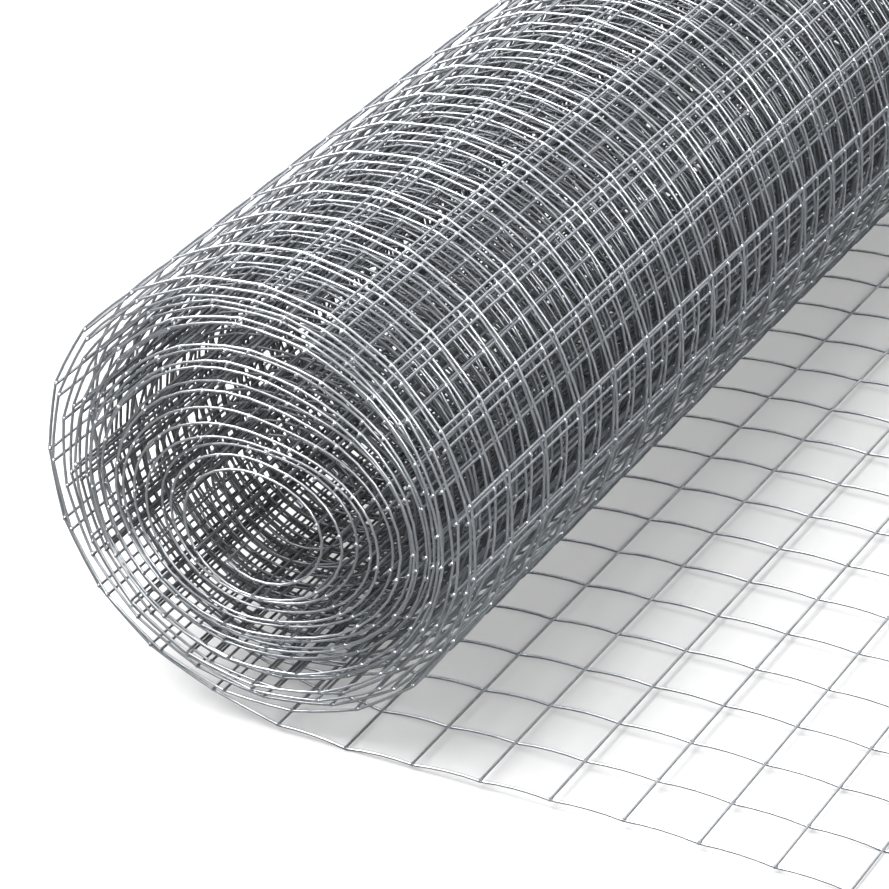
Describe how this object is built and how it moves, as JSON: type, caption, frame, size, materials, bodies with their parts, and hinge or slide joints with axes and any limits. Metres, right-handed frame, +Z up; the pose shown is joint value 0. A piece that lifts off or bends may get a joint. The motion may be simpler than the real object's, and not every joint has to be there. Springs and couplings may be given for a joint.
{
  "type": "wire mesh",
  "caption": "Roll of galvanised welded wire mesh with small square cells, lying on its side with the free end of the sheet unrolled on the floor.",
  "frame": {"origin": "centre of the base of the whole object, on the floor halfway between the roll's left side and the free end of the sheet", "axes": "+Z up, +Y along the roll's axis away from the end that faces the camera, +X from the roll towards the free end of the sheet"},
  "size_m": [0.253, 0.502, 0.1228],
  "materials": {
    "galvanised_wire": "hot-dip galvanised wire, bright with a dull grey bloom"
  },
  "bodies": {
    "root": {"wound_roll": "galvanised_wire", "unrolled_sheet": "galvanised_wire"}
  },
  "joints": []
}
